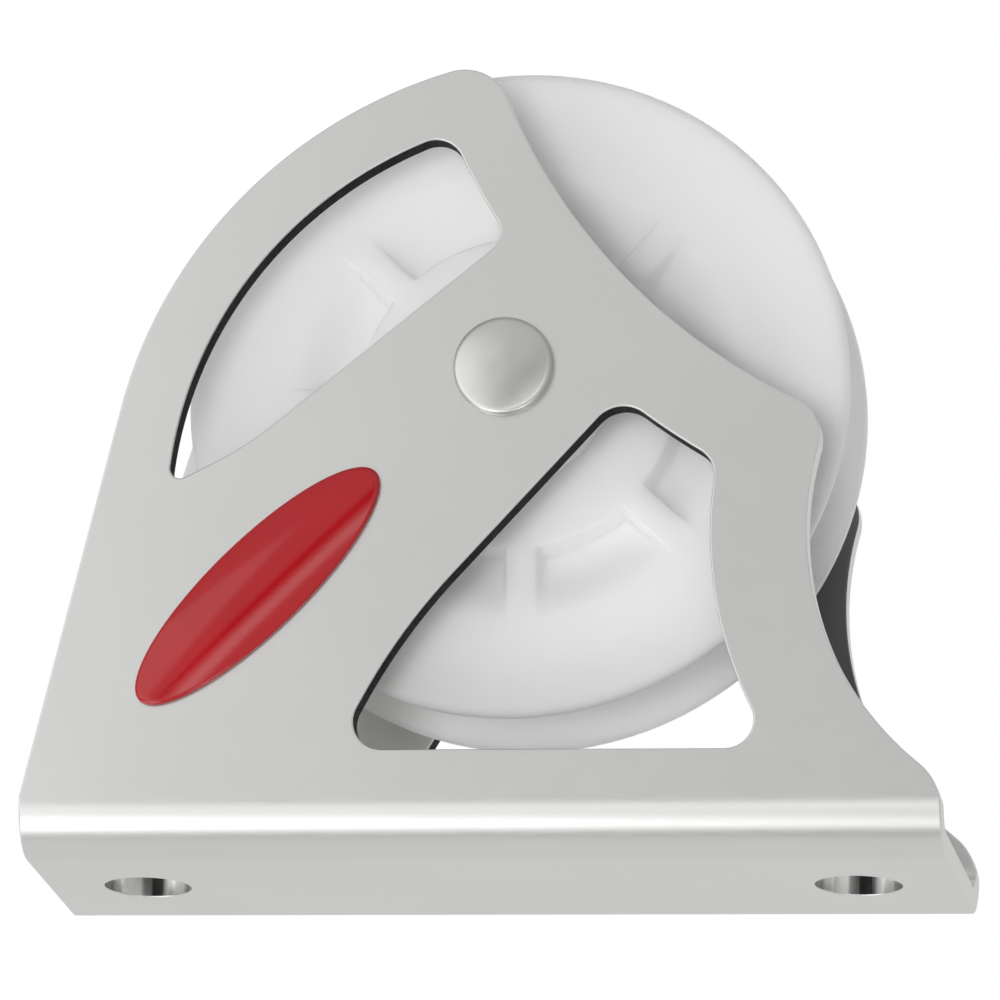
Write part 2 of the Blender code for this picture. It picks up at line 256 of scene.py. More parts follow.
def arc_points(centre, start, end):
    """Points from start up to, but without, end, the short way around centre."""
    arm = start - centre
    turn = math.remainder(
        math.atan2(end.y - centre.y, end.x - centre.x) - math.atan2(arm.y, arm.x), math.tau)
    count = math.ceil(abs(turn) / (2 * math.acos(1 - ARC_SAG / arm.length)))
    count = max(ARC_STEPS_LEAST, count)
    return [centre + Matrix.Rotation(turn * i / count, 2) @ arm for i in range(count)]


def offset_line(offset, angle):
    """Straight edge at an angle, whose distance from the axle is offset, on its upper side."""
    return Line(Vector((-math.sin(angle), math.cos(angle))) * offset, angle)


def rounding(first, second, radius, near):
    """Centre of the circle that touches both edges on near's side, and where it touches them."""
    centre = Vector(near)
    sides = [math.copysign(radius, edge.offset(centre)[0]) for edge in (first, second)]
    for _ in range(ROUNDING_TRIES):
        (gap_a, way_a), (gap_b, way_b) = first.offset(centre), second.offset(centre)
        miss_a, miss_b = sides[0] - gap_a, sides[1] - gap_b
        scale = way_a.x * way_b.y - way_a.y * way_b.x
        centre += Vector((miss_a * way_b.y - miss_b * way_a.y,
                          miss_b * way_a.x - miss_a * way_b.x)) / scale
    touches = [centre - edge.offset(centre)[1] * side
               for edge, side in zip((first, second), sides)]
    return centre, touches[0], touches[1]


def traced(edges, corners, start):
    """Points along a row of edges whose corners are rounded, and the point that it ends at."""
    points = []
    at = start
    for edge, following, (radius, near) in zip(edges, edges[1:], corners):
        centre, leave, join = rounding(edge, following, radius, near)
        points += edge.run(at, leave) + arc_points(centre, leave, join)
        at = join
    return points, at


def closed_outline(edges, corners):
    """Outline whose last edge runs back into its first."""
    radius, near = corners[-1]
    start = rounding(edges[-1], edges[0], radius, near)[2]
    return traced(edges + edges[:1], corners, start)[0]


def circle(centre, radius):
    return [centre + Vector((math.cos(a), math.sin(a))) * radius
            for a in (math.tau * i / HOLE_STEPS for i in range(HOLE_STEPS))]


def deck_holes():
    """Outlines of both deck holes on the blank, which is flat there."""
    return [circle(Vector((side * DECK_HOLE_SPACING / 2, 0)), DECK_HOLE_R) for side in (-1, 1)]


def cheek_outline():
    """Outline of a cheek from the left bend, over the crown, to the toe; the axle is at (0, 0)."""
    crown = Arc(CROWN_CENTRE, CROWN_R)
    saddle = Arc(SADDLE_CENTRE, SADDLE_R)
    heel = Arc(HEEL_CENTRE, HEEL_R)
    right_end = Line((BASE_HALF - AXLE.x, 0), math.pi / 2)
    bend_top = Vector((-BASE_HALF - AXLE.x, BEND_R - AXLE.y))
    to_crown = crown.centre - bend_top
    lean = math.atan2(to_crown.y, to_crown.x) + math.asin(CROWN_R / to_crown.length)
    tangent = math.sqrt(to_crown.length ** 2 - CROWN_R ** 2)
    crown_start = bend_top + tangent * Vector((math.cos(lean), math.sin(lean)))
    corners = [(NOSE_R, NOSE_NEAR), (SHOULDER_R, SHOULDER_NEAR), (TOE_R, TOE_NEAR)]
    points, toe = traced([crown, saddle, heel, right_end], corners, crown_start)
    return [bend_top] + points + [toe]


def upper_window():
    sill = offset_line(UPPER_SILL_OFFSET, UPPER_SILL_ANGLE)
    tail = offset_line(UPPER_TAIL_OFFSET, UPPER_TAIL_ANGLE)
    crown = Arc(CROWN_CENTRE, CROWN_R - CROWN_BAND)
    saddle = Arc(SADDLE_CENTRE, SADDLE_R + UPPER_SADDLE_BAND)
    return closed_outline([crown, saddle, sill, tail], UPPER_CORNERS)


def lower_window():
    sill = Line((0, LOWER_SILL_HEIGHT - AXLE.y), 0.0)
    brow_foot = Line(BROW_FOOT, BROW_FOOT_ANGLE)
    brow_top = Line(BROW_TOP, BROW_TOP_ANGLE)
    saddle = Arc(SADDLE_CENTRE, SADDLE_R + LOWER_SADDLE_BAND)
    heel = Arc(HEEL_CENTRE, HEEL_R + HEEL_BAND)
    return closed_outline([brow_foot, brow_top, saddle, heel, sill], LOWER_CORNERS)


# The flat blank: x as built, y the way along the sheet from the middle of the base
BASE_FLAT = WIDTH_HALF - BEND_R
MIDDLE_BEND_R = BEND_R - SHEET / 2
BEND_LENGTH = MIDDLE_BEND_R * math.pi / 2


def way_along_sheet(height):
    """How far along the blank a point of the cheek's outer side lies, from its height."""
    if height >= BEND_R:
        return BASE_FLAT + BEND_LENGTH + height - BEND_R
    return BASE_FLAT + MIDDLE_BEND_R * math.acos(1 - height / BEND_R)


def on_blank(points, side):
    """Axle-centred cheek points, laid out on the blank's near (-1) or far (1) half."""
    return [Vector((p.x + AXLE.x, side * way_along_sheet(p.y + AXLE.y))) for p in points]


def bend_turn(point):
    """How far the sheet is turned where a point of the blank lies."""
    return min(max((abs(point.y) - BASE_FLAT) / MIDDLE_BEND_R, 0.0), math.pi / 2)


def folded(point):
    """Where a point of the flat blank goes when both cheeks are folded up."""
    x, way, rise = point.x, abs(point.y), point.z + SHEET / 2
    side = math.copysign(1, point.y)
    turn = bend_turn(point)
    radius = BEND_R - rise
    up = max(way - BASE_FLAT - BEND_LENGTH, 0.0)
    y = min(way, BASE_FLAT) + radius * math.sin(turn)
    z = BEND_R - radius * math.cos(turn) + up
    return Vector((x, side * y, z))


def smooth_normal(vert):
    """Normal of a point of the blank: straight on its sides, rolled over on its rounded edges."""
    rise = (abs(vert.co.z) - SHEET / 2 + EDGE_ROUND) / EDGE_ROUND
    up = math.copysign(min(max(rise, 0.0), 1.0), vert.co.z)
    out = Vector((vert.normal.x, vert.normal.y, 0)).normalized() * math.sqrt(1 - up * up)
    flat = out + Vector((0, 0, up))
    return Matrix.Rotation(math.copysign(bend_turn(vert.co), vert.co.y), 3, "X") @ flat


def window_loops(side):
    return [on_blank(upper_window(), side), on_blank(lower_window(), side)]


def add_loop(curve, points):
    spline = curve.splines.new("POLY")
    spline.points.add(len(points) - 1)
    for knot, point in zip(spline.points, points):
        knot.co = (point.x, point.y, 0, 1)
    spline.use_cyclic_u = True


def blank_mesh():
    """The flat blank with its holes and rounded edges, as a mesh."""
    curve = bpy.data.curves.new("blank", "CURVE")
    curve.dimensions = "2D"
    curve.fill_mode = "BOTH"
    curve.extrude = SHEET / 2 - EDGE_ROUND
    curve.bevel_depth = EDGE_ROUND
    curve.bevel_resolution = EDGE_STEPS
    curve.offset = -EDGE_ROUND
    far = on_blank(cheek_outline(), 1)
    near = on_blank(cheek_outline(), -1)
    add_loop(curve, far + near[::-1])
    for side, deck_hole in zip((-1, 1), deck_holes()):
        for loop in window_loops(side):
            add_loop(curve, loop)
        add_loop(curve, on_blank(circle(Vector((0, 0)), NECK_R), side))
        add_loop(curve, deck_hole)
    flat = bpy.data.objects.new("blank", curve)
    bpy.context.scene.collection.objects.link(flat)
    bpy.context.view_layer.update()
    depsgraph = bpy.context.evaluated_depsgraph_get()
    mesh = bpy.data.meshes.new_from_object(flat.evaluated_get(depsgraph))
    bpy.data.objects.remove(flat)
    return mesh


def cut_bends(bm):
    """Cuts the blank along both bends, so that it can be folded."""
    for side in (-1, 1):
        for i in range(BEND_CUTS + 1):
            way = side * (BASE_FLAT + BEND_LENGTH * i / BEND_CUTS)
            parts = bm.verts[:] + bm.edges[:] + bm.faces[:]
            bmesh.ops.bisect_plane(bm, geom=parts, plane_co=(0, way, 0), plane_no=(0, 1, 0),
                                   dist=MERGE_GAP)


def faces_shade(face):
    """Whether a wall of the blank faces the side that gets painted shade, once its cheek is folded
    up.
    """
    up = face.normal.y * math.copysign(1, face.verts[0].co.y)
    return face.normal.x * math.sin(SHADE_ANGLE) - up * math.cos(SHADE_ANGLE) > 0


def mark_walls(bm):
    """Gives the window walls that face the shade their painted shade, and the walls of the deck
    holes their painted reflection.
    """
    points = [(p, SHADED_CUT_WALL) for side in (-1, 1) for loop in window_loops(side) for p in loop]
    points += [(p, BORED_WALL) for loop in deck_holes() for p in loop]
    tree = KDTree(len(points))
    for i, (point, _) in enumerate(points):
        tree.insert((*point, 0), i)
    tree.balance()
    for face in bm.faces:
        if abs(face.normal.z) > WALL_LEAN:
            continue
        corner = face.verts[0].co
        _, i, gap = tree.find((corner.x, corner.y, 0))
        finish = points[i][1]
        if gap < EDGE_ROUND and (finish == BORED_WALL or faces_shade(face)):
            face.material_index = finish


def folded_frame(materials):
    """The sheet frame: bend lines are cut into the blank, then its points are folded up."""
    mesh = blank_mesh()
    mesh.name = "folded_frame"
    mesh.materials.clear()
    for material in materials:
        mesh.materials.append(material)
    bm = bmesh.new()
    bm.from_mesh(mesh)
    bmesh.ops.remove_doubles(bm, verts=bm.verts, dist=MERGE_GAP)
    cut_bends(bm)
    bmesh.ops.recalc_face_normals(bm, faces=bm.faces)
    for face in bm.faces:
        face.smooth = True
        face.material_index = PLAIN_FACE
    mark_walls(bm)
    bm.normal_update()
    normals = [smooth_normal(vert) for vert in bm.verts]
    for vert in bm.verts:
        vert.co = folded(vert.co)
    bm.to_mesh(mesh)
    bm.free()
    mesh.normals_split_custom_set_from_vertices(normals)
    return link("folded_frame", mesh)


def link(name, mesh):
    obj = bpy.data.objects.new(name, mesh)
    bpy.context.scene.collection.objects.link(obj)
    return obj


def smooth_step(value):
    value = min(max(value, 0.0), 1.0)
    return value * value * (3 - 2 * value)


def pocket_depth(radius, from_rib):
    """How deep the sheave's side lies below its face, at a distance from a rib's middle line."""
    slope = min(max((radius - WALL_END) / (POCKET_OUTER_R - WALL_END), 0.0), 1.0)
    wall = smooth_step((radius - WALL_START) / (WALL_END - WALL_START))
    beside = smooth_step((from_rib - RIB_WIDTH / 2) / SOFT_EDGE)
    return POCKET_DEPTH * (1 + math.cos(math.pi * slope)) / 2 * wall * beside


def stations(start, end, steps):
    """Distances after start, up to end, at even steps."""
    return [start + (end - start) * i / steps for i in range(1, steps + 1)]


def rib_stations():
    """Places across half a sector: distances from the rib's middle, then shares of the rest."""
    rib = [RIB_WIDTH / 2 * share for share in RIB_SHARES]
    edge = stations(RIB_WIDTH / 2, RIB_WIDTH / 2 + SOFT_EDGE, RIB_EDGE_STEPS)
    return rib + edge, stations(0, 1, OPEN_STEPS)


def ring_angles(radius):
    """Angles and distances from the rib along one ring, with points on every rib's edges."""
    near_rib, open_shares = rib_stations()
    half_sector = math.pi / RIB_COUNT
    half = [(math.asin(d / radius), d) for d in near_rib]
    last = half[-1][0]
    spread = [last + (half_sector - last) * share for share in open_shares]
    half += [(angle, radius * math.sin(angle)) for angle in spread]
    sector = [(-angle, d) for angle, d in half[:0:-1]] + half[:-1]
    return [(RIB_FIRST_ANGLE + k * math.tau / RIB_COUNT + angle, d)
            for k in range(RIB_COUNT) for angle, d in sector]


def corner_points(centre, radius, start, end, steps):
    """(radius, y) points of a rounded edge, from angle start to end."""
    angles = [start + (end - start) * i / steps for i in range(steps + 1)]
    return [(centre[0] + radius * math.cos(a), centre[1] + radius * math.sin(a)) for a in angles]


def sheave_half_profile():
    """(radius, y) points from the bore's middle to the groove's root, over the +Y side."""
    face = RIM_WIDTH / 2
    groove_r = face - 2 * LIP_R
    lip_centre = SHEAVE_R - LIP_R
    ease_y = BOSS_END - BOSS_EASE
    up, down, left = math.pi / 2, -math.pi / 2, math.pi
    points = [(BORE_R, face), (BORE_R, ease_y)]
    points += corner_points((BORE_R + BOSS_EASE, ease_y), BOSS_EASE, left, up, EASE_STEPS)
    points += corner_points((BOSS_R - BOSS_EASE, ease_y), BOSS_EASE, up, 0, EASE_STEPS)
    points += corner_points((BOSS_R + BOSS_EASE, face + BOSS_EASE), BOSS_EASE,
                            left, left + up, EASE_STEPS)
    flat = [HUB_RING_R - SOFT_EDGE, WALL_START] + stations(WALL_START, WALL_END, WALL_STEPS)
    flat += stations(FLOOR_START, POCKET_OUTER_R, POCKET_STEPS)
    flat += stations(POCKET_OUTER_R, lip_centre, FACE_STEPS)[:-1]
    points += [(radius, face) for radius in flat]
    points += corner_points((lip_centre, face - LIP_R), LIP_R, up, down, LIP_STEPS)
    points += [(lip_centre - groove_r * math.sin(a), groove_r * math.cos(a))
               for a in stations(0, up, GROOVE_STEPS)]
    return points


def join_rings(bm, first, second):
    """Smooth faces between two rings of as many points."""
    count = len(first)
    for i in range(count):
        j = (i + 1) % count
        bm.faces.new((first[i], first[j], second[j], second[i])).smooth = True


def linked_solid(name, bm, material):
    """Object from a closed mesh, with its faces turned outwards."""
    bmesh.ops.recalc_face_normals(bm, faces=bm.faces)
    mesh = bpy.data.meshes.new(name)
    bm.to_mesh(mesh)
    bm.free()
    mesh.materials.append(material)
    return link(name, mesh)


def moulded_sheave(plastic):
    """The sheave: rings of points around the axle, set back where its side has pockets."""
    half = sheave_half_profile()
    profile = half + [(r, -y) for r, y in half[-2::-1]]
    face = RIM_WIDTH / 2
    bm = bmesh.new()
    rings = []
    for radius, y in profile:
        ring = []
        for angle, from_rib in ring_angles(radius):
            depth = pocket_depth(radius, from_rib) if abs(y) == face else 0.0
            place = (radius * math.cos(angle) + AXLE.x, y - math.copysign(depth, y),
                     radius * math.sin(angle) + AXLE.y)
            ring.append(bm.verts.new(place))
        rings.append(ring)
    for first, second in zip(rings, rings[1:] + rings[:1]):
        join_rings(bm, first, second)
    return linked_solid("moulded_sheave", bm, plastic)


def dome(edge_r, height, steps):
    """(radius, rise) points of a shallow dome from its edge to just off its crown."""
    ball_r = (edge_r ** 2 + height ** 2) / (2 * height)
    half = math.asin(edge_r / ball_r)
    angles = [half * (1 - i / steps) for i in range(steps)]
    return [(ball_r * math.sin(a), ball_r * (math.cos(a) - math.cos(half))) for a in angles]


def turned(name, profile, material):
    """A solid turned about the axle from (radius, y) points that start and end on its axis."""
    bm = bmesh.new()
    verts = [bm.verts.new((radius, y, 0)) for radius, y in profile]
    edges = [bm.edges.new(pair) for pair in zip(verts, verts[1:])]
    bmesh.ops.spin(bm, geom=verts + edges, cent=(0, 0, 0), axis=(0, 1, 0),
                   angle=math.tau, steps=TURNED_STEPS, use_merge=True)
    bmesh.ops.remove_doubles(bm, verts=bm.verts, dist=MERGE_GAP)
    obj = linked_solid(name, bm, material)
    obj.data.shade_smooth()
    obj.data.set_sharp_from_angle(angle=SHARP_ANGLE)
    obj.location = (AXLE.x, 0, AXLE.y)
    return obj


def closed_rivet(steel):
    """The rivet: a barrel between the cheeks, necks, and low heads closed onto both cheeks."""
    low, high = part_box("axle_rivet")
    barrel_r = (high[0] - low[0]) / 2
    barrel_end = WIDTH_HALF - SHEET
    head_top = WIDTH_HALF + HEAD_HEIGHT
    foot = (HEAD_R - HEAD_FOOT_R, WIDTH_HALF + HEAD_FOOT_R)
    shoulder = (HEAD_R - HEAD_SHOULDER_R, WIDTH_HALF + HEAD_EDGE)
    half = [(barrel_r, barrel_end), (NECK_R, barrel_end), (NECK_R, WIDTH_HALF)]
    half += corner_points(foot, HEAD_FOOT_R, -math.pi / 2, 0, FOOT_STEPS)
    half += corner_points(shoulder, HEAD_SHOULDER_R, 0, HEAD_SHOULDER_END, SHOULDER_STEPS)
    edge_r, edge_y = half[-1]
    crown = dome(edge_r, head_top - edge_y, DOME_STEPS)
    half += [(radius, edge_y + rise) for radius, rise in crown[1:]]
    half.append((0, head_top))
    profile = [(radius, -y) for radius, y in reversed(half)] + half
    return turned("closed_rivet", profile, steel)


def domed_badge(red):
    """An oval dome that lies on the near cheek."""
    rises = dome(1.0, BADGE_HEIGHT - BADGE_EDGE, BADGE_DOME_STEPS)
    sizes = [(1.0, 0.0), (1.0, BADGE_WALL)]
    sizes += [(share * BADGE_DOME_SHARE, BADGE_EDGE + rise) for share, rise in rises]
    centre = Vector((BADGE_FROM_END - BASE_HALF, -WIDTH_HALF, BADGE_FROM_BASE))
    turn = Matrix.Rotation(-BADGE_ANGLE, 3, "Y")
    bm = bmesh.new()
    rings = []
    for size, rise in sizes:
        ring = []
        for i in range(BADGE_STEPS):
            angle = math.tau * i / BADGE_STEPS
            flat = Vector((size * BADGE_LENGTH / 2 * math.cos(angle), -rise,
                           size * BADGE_WIDTH / 2 * math.sin(angle)))
            ring.append(bm.verts.new(centre + turn @ flat))
        rings.append(ring)
    for lower, upper in zip(rings, rings[1:]):
        join_rings(bm, lower, upper)
    bm.faces.new(rings[0])
    crown = bm.verts.new(centre + Vector((0, -BADGE_HEIGHT, 0)))
    for i in range(BADGE_STEPS):
        bm.faces.new((rings[-1][i], rings[-1][(i + 1) % BADGE_STEPS], crown)).smooth = True
    return linked_solid("domed_badge", bm, red)


def new_material(name, colour, roughness, metallic):
    material = bpy.data.materials.new(name)
    material.use_nodes = True
    shader = material.node_tree.nodes["Principled BSDF"]
    shader.inputs["Base Color"].default_value = (*colour, 1.0)
    shader.inputs["Roughness"].default_value = roughness
    shader.inputs["Metallic"].default_value = metallic
    return material, shader


def grain(material, scale, detail):
    """Noise in the object's own coordinates, with so many spots a metre each way, as a node."""
    nodes, links = material.node_tree.nodes, material.node_tree.links
    where = nodes.new("ShaderNodeTexCoord")
    stretch = nodes.new("ShaderNodeMapping")
    stretch.inputs["Scale"].default_value = scale
    noise = nodes.new("ShaderNodeTexNoise")
    noise.inputs["Scale"].default_value = 1.0
    noise.inputs["Detail"].default_value = detail
    links.new(where.outputs["Object"], stretch.inputs["Vector"])
    links.new(stretch.outputs["Vector"], noise.inputs["Vector"])
    return noise


def ramp(material, source, low, high, colours):
    """Colour ramp between two levels of a noise node."""
    node = material.node_tree.nodes.new("ShaderNodeValToRGB")
    node.color_ramp.elements[0].position = low
    node.color_ramp.elements[1].position = high
    for element, colour in zip(node.color_ramp.elements, colours):
        element.color = (*colour, 1.0)
    material.node_tree.links.new(source.outputs["Fac"], node.inputs["Fac"])
    return node


def stepped_ramp(nodes, stops, blue=1.0):
    """Ramp of greys through (place, level) stops, with its blue turned down to a share."""
    node = nodes.new("ShaderNodeValToRGB")
    for _ in stops[2:]:
        node.color_ramp.elements.new(0.5)
    for element, (place, level) in zip(node.color_ramp.elements, stops):
        element.position = place
        element.color = (level, level, level * blue, 1.0)
    return node


def bump(material, source, shader, height, strength):
    """Fine relief in a material, from a noise node."""
    node = material.node_tree.nodes.new("ShaderNodeBump")
    node.inputs["Distance"].default_value = height
    node.inputs["Strength"].default_value = strength
    material.node_tree.links.new(source.outputs["Fac"], node.inputs["Height"])
    material.node_tree.links.new(node.outputs["Normal"], shader.inputs["Normal"])


def varied_roughness(material, source, shader, low, high):
    """Roughness that goes from low to high with a noise node."""
    node = material.node_tree.nodes.new("ShaderNodeMapRange")
    node.inputs["From Min"].default_value = NOISE_LOW
    node.inputs["From Max"].default_value = NOISE_HIGH
    node.inputs["To Min"].default_value = low
    node.inputs["To Max"].default_value = high
    material.node_tree.links.new(source.outputs["Fac"], node.inputs["Value"])
    material.node_tree.links.new(node.outputs["Result"], shader.inputs["Roughness"])


def between(material, value, low, high):
    """Socket that goes smoothly from 0 to 1 while value goes from low to high."""
    node = material.node_tree.nodes.new("ShaderNodeMapRange")
    node.interpolation_type = "SMOOTHSTEP"
    node.inputs["From Min"].default_value = low
    node.inputs["From Max"].default_value = high
    material.node_tree.links.new(value, node.inputs["Value"])
    return node.outputs["Result"]


def calculated(material, operation, first, second=None):
    """Socket with the result of a calculation on one or two sockets."""
    node = material.node_tree.nodes.new("ShaderNodeMath")
    node.operation = operation
    material.node_tree.links.new(first, node.inputs[0])
    if second:
        material.node_tree.links.new(second, node.inputs[1])
    return node.outputs["Value"]


def coordinates(material, kind):
    """X, Y and Z sockets of one kind of texture coordinates."""
    nodes, links = material.node_tree.nodes, material.node_tree.links
    where = nodes.new("ShaderNodeTexCoord")
    parts = nodes.new("ShaderNodeSeparateXYZ")
    links.new(where.outputs[kind], parts.inputs["Vector"])
    return parts.outputs


def inside_shade_share(material):
    """Share of painted shade: rises to 1 on the insides of the cheeks, towards their open right
    ends.
    """
    place = coordinates(material, "Object")
    inside = WIDTH_HALF - SHEET
    away = calculated(material, "ABSOLUTE", place["Y"])
    depth = between(material, away, inside + EDGE_ROUND, inside + EDGE_ROUND / 3)
    height = between(material, place["Z"], *INSIDE_SHADE_HEIGHTS)
    right = between(material, place["X"], *INSIDE_SHADE_RIGHTWARD)
    share = calculated(material, "MULTIPLY", depth, height)
    return calculated(material, "MULTIPLY", share, right)


def satin_steel():
    """Rolled stainless sheet: fine grain along X, a faint, wide change of tone, painted shade on
    the insides.
    """
    material, shader = new_material("satin_steel", STEEL, roughness=0.34, metallic=1.0)
    nodes, links = material.node_tree.nodes, material.node_tree.links
    clouds = grain(material, scale=(60, 60, 60), detail=2.0)
    tone = ramp(material, clouds, low=0.35, high=0.65, colours=STEEL_TONES)
    # Painted shade: the cheeks' insides are mixed towards a dark grey
    shaded_inside = nodes.new("ShaderNodeMix")
    shaded_inside.data_type = "RGBA"
    shaded_inside.inputs["B"].default_value = INSIDE_SHADE_COLOUR
    links.new(inside_shade_share(material), shaded_inside.inputs["Factor"])
    links.new(tone.outputs["Color"], shaded_inside.inputs["A"])
    links.new(shaded_inside.outputs["Result"], shader.inputs["Base Color"])
    fine = grain(material, scale=(500, 9000, 9000), detail=3.0)
    varied_roughness(material, fine, shader, low=0.31, high=0.37)
    bump(material, fine, shader, height=0.002 * MM, strength=0.4)
    return material


def shaded_cut_steel():
    """Walls of the windows that face the shade: dark from the cutting, and painted near black as
    shade on this side only.
    """
    material, shader = new_material("shaded_cut_steel", SHADED_CUT_BLACK, roughness=0.55, metallic=0.0)
    shader.inputs["Specular IOR Level"].default_value = 0.05
    marks = grain(material, scale=(4000, 900, 4000), detail=3.0)
    varied_roughness(material, marks, shader, low=0.5, high=0.65)
    bump(material, marks, shader, height=0.004 * MM, strength=0.4)
    return material


def bore_painted_reflection_steel():
    """Walls of the deck holes, with a painted reflection: bright, with upright streaks, and dark
    towards both cheeks.
    """
    material, shader = new_material("bore_painted_reflection_steel", STEEL, roughness=0.3, metallic=1.0)
    nodes, links = material.node_tree.nodes, material.node_tree.links
    sideways = calculated(material, "ABSOLUTE", coordinates(material, "Normal")["X"])
    streaks = grain(material, scale=(1200, 1200, 60), detail=2.0)
    shifted = nodes.new("ShaderNodeMath")
    shifted.operation = "MULTIPLY_ADD"
    shifted.inputs[1].default_value = STREAK_SHARE
    links.new(streaks.outputs["Fac"], shifted.inputs[0])
    links.new(sideways, shifted.inputs[2])
    tone = stepped_ramp(nodes, BORE_REFLECTION_STOPS, BORE_REFLECTION_BLUE)
    links.new(shifted.outputs["Value"], tone.inputs["Fac"])
    links.new(tone.outputs["Color"], shader.inputs["Base Color"])
    varied_roughness(material, streaks, shader, low=0.22, high=0.36)
    return material


def rivet_steel():
    """Turned and closed head: smoother than the sheet, with fine rings about the axle."""
    material, shader = new_material("rivet_steel", RIVET_STEEL, roughness=0.33, metallic=1.0)
    shader.inputs["Anisotropic"].default_value = 0.3
    rings = material.node_tree.nodes.new("ShaderNodeTangent")
    rings.direction_type = "RADIAL"
    rings.axis = "Y"
    material.node_tree.links.new(rings.outputs["Tangent"], shader.inputs["Tangent"])
    smudge = grain(material, scale=(250, 250, 250), detail=2.0)
    varied_roughness(material, smudge, shader, low=0.30, high=0.36)
    tone = ramp(material, smudge, low=NOISE_LOW, high=NOISE_HIGH, colours=RIVET_TONES)
    material.node_tree.links.new(tone.outputs["Color"], shader.inputs["Base Color"])
    return material


def white_plastic():
    """Moulded white plastic, slightly translucent, with a very fine skin."""
    material, shader = new_material("white_plastic", PLASTIC_WHITE, roughness=0.5, metallic=0.0)
    shader.inputs["Specular IOR Level"].default_value = 0.3
    shader.inputs["Subsurface Weight"].default_value = 1.0
    shader.inputs["Subsurface Radius"].default_value = (1.0, 1.0, 1.0)
    shader.inputs["Subsurface Scale"].default_value = 4.2 * MM
    skin = grain(material, scale=(2500, 2500, 2500), detail=3.0)
    varied_roughness(material, skin, shader, low=0.45, high=0.55)
    bump(material, skin, shader, height=0.003 * MM, strength=0.3)
    return material


def red_resin():
    """Red print under a clear domed resin."""
    material, shader = new_material("red_resin", BADGE_RED, roughness=0.5, metallic=0.0)
    shader.inputs["Specular IOR Level"].default_value = 0.0
    shader.inputs["Coat Weight"].default_value = 1.0
    shader.inputs["Coat Roughness"].default_value = 0.14
    clouds = grain(material, scale=(300, 300, 300), detail=2.0)
    tone = ramp(material, clouds, low=NOISE_LOW, high=NOISE_HIGH, colours=BADGE_TONES)
    material.node_tree.links.new(tone.outputs["Color"], shader.inputs["Base Color"])
    return material


def floor_white():
    """Pale surface that only the camera sees, and only from above."""
    material, shader = new_material("pale_floor", FLOOR_WHITE, roughness=0.8, metallic=0.0)
    shader.inputs["Emission Color"].default_value = (1.0, 1.0, 1.0, 1.0)
    shader.inputs["Emission Strength"].default_value = FLOOR_GLOW
    nodes, links = material.node_tree.nodes, material.node_tree.links
    path = nodes.new("ShaderNodeLightPath")
    side = nodes.new("ShaderNodeNewGeometry")
    front = nodes.new("ShaderNodeMath")
    front.operation = "SUBTRACT"
    links.new(path.outputs["Is Camera Ray"], front.inputs[0])
    links.new(side.outputs["Backfacing"], front.inputs[1])
    front.use_clamp = True
    clear = nodes.new("ShaderNodeBsdfTransparent")
    mix = nodes.new("ShaderNodeMixShader")
    links.new(front.outputs["Value"], mix.inputs["Fac"])
    links.new(clear.outputs["BSDF"], mix.inputs[1])
    links.new(shader.outputs["BSDF"], mix.inputs[2])
    links.new(mix.outputs["Shader"], nodes["Material Output"].inputs["Surface"])
    return material


def panel(name, width, height, material):
    """Flat rectangle about its own origin, which faces +Z."""
    corners = [(x * width / 2, y * height / 2, 0) for x, y in ((-1, -1), (1, -1), (1, 1), (-1, 1))]
    mesh = bpy.data.meshes.new(name)
    mesh.from_pydata(corners, [], [(0, 1, 2, 3)])
    mesh.materials.append(material)
    return link(name, mesh)


def pale_floor():
    floor = panel("floor", FLOOR_SIZE, FLOOR_SIZE, floor_white())
    floor.location.z = -FLOOR_DROP


def mixed(nodes, links, factor, first, second):
    """Node socket that gives first where factor is 0 and second where it is 1."""
    node = nodes.new("ShaderNodeMix")
    links.new(factor, node.inputs["Factor"])
    for socket, value in zip((node.inputs["A"], node.inputs["B"]), (first, second)):
        if isinstance(value, bpy.types.NodeSocket):
            links.new(value, socket)
        else:
            socket.default_value = value
    return node.outputs["Result"]


def glow_by_depth(nodes, links, stops):
    """World colour that changes from front to back: (share of the way, level) stops."""
    way = nodes.new("ShaderNodeTexCoord")
    parts = nodes.new("ShaderNodeSeparateXYZ")
    depth = nodes.new("ShaderNodeMapRange")
    depth.inputs["From Min"].default_value = -1.0
    glow = stepped_ramp(nodes, stops)
    links.new(way.outputs["Generated"], parts.inputs["Vector"])
    links.new(parts.outputs["Y"], depth.inputs["Value"])
    links.new(depth.outputs["Result"], glow.inputs["Fac"])
    return glow.outputs["Color"]


def set_world():
    """White to the camera, a studio with a dark gap to metal, and a soft light on the rest."""
    world = bpy.data.worlds.new("studio")
    bpy.context.scene.world = world
    world.use_nodes = True
    nodes, links = world.node_tree.nodes, world.node_tree.links
    path = nodes.new("ShaderNodeLightPath")
    mirrored = nodes.new("ShaderNodeMath")
    mirrored.operation = "MAXIMUM"
    links.new(path.outputs["Is Glossy Ray"], mirrored.inputs[0])
    links.new(path.outputs["Is Transmission Ray"], mirrored.inputs[1])
    studio = glow_by_depth(nodes, links, STUDIO_STOPS)
    soft_light = glow_by_depth(nodes, links, SOFT_STOPS)
    glow = mixed(nodes, links, mirrored.outputs["Value"], soft_light, studio)
    glow = mixed(nodes, links, path.outputs["Is Camera Ray"], glow, 1.0)
    links.new(glow, nodes["Background"].inputs["Strength"])
    nodes["Background"].inputs["Color"].default_value = (1, 1, 1, 1)


def facing(place, spin):
    """Place and turn of something flat whose -Z side looks at the block's middle."""
    way = (BLOCK_MIDDLE - Vector(place)).to_track_quat("-Z", "Y").to_matrix().to_4x4()
    return Matrix.Translation(place) @ way @ Matrix.Rotation(spin, 4, "Z")


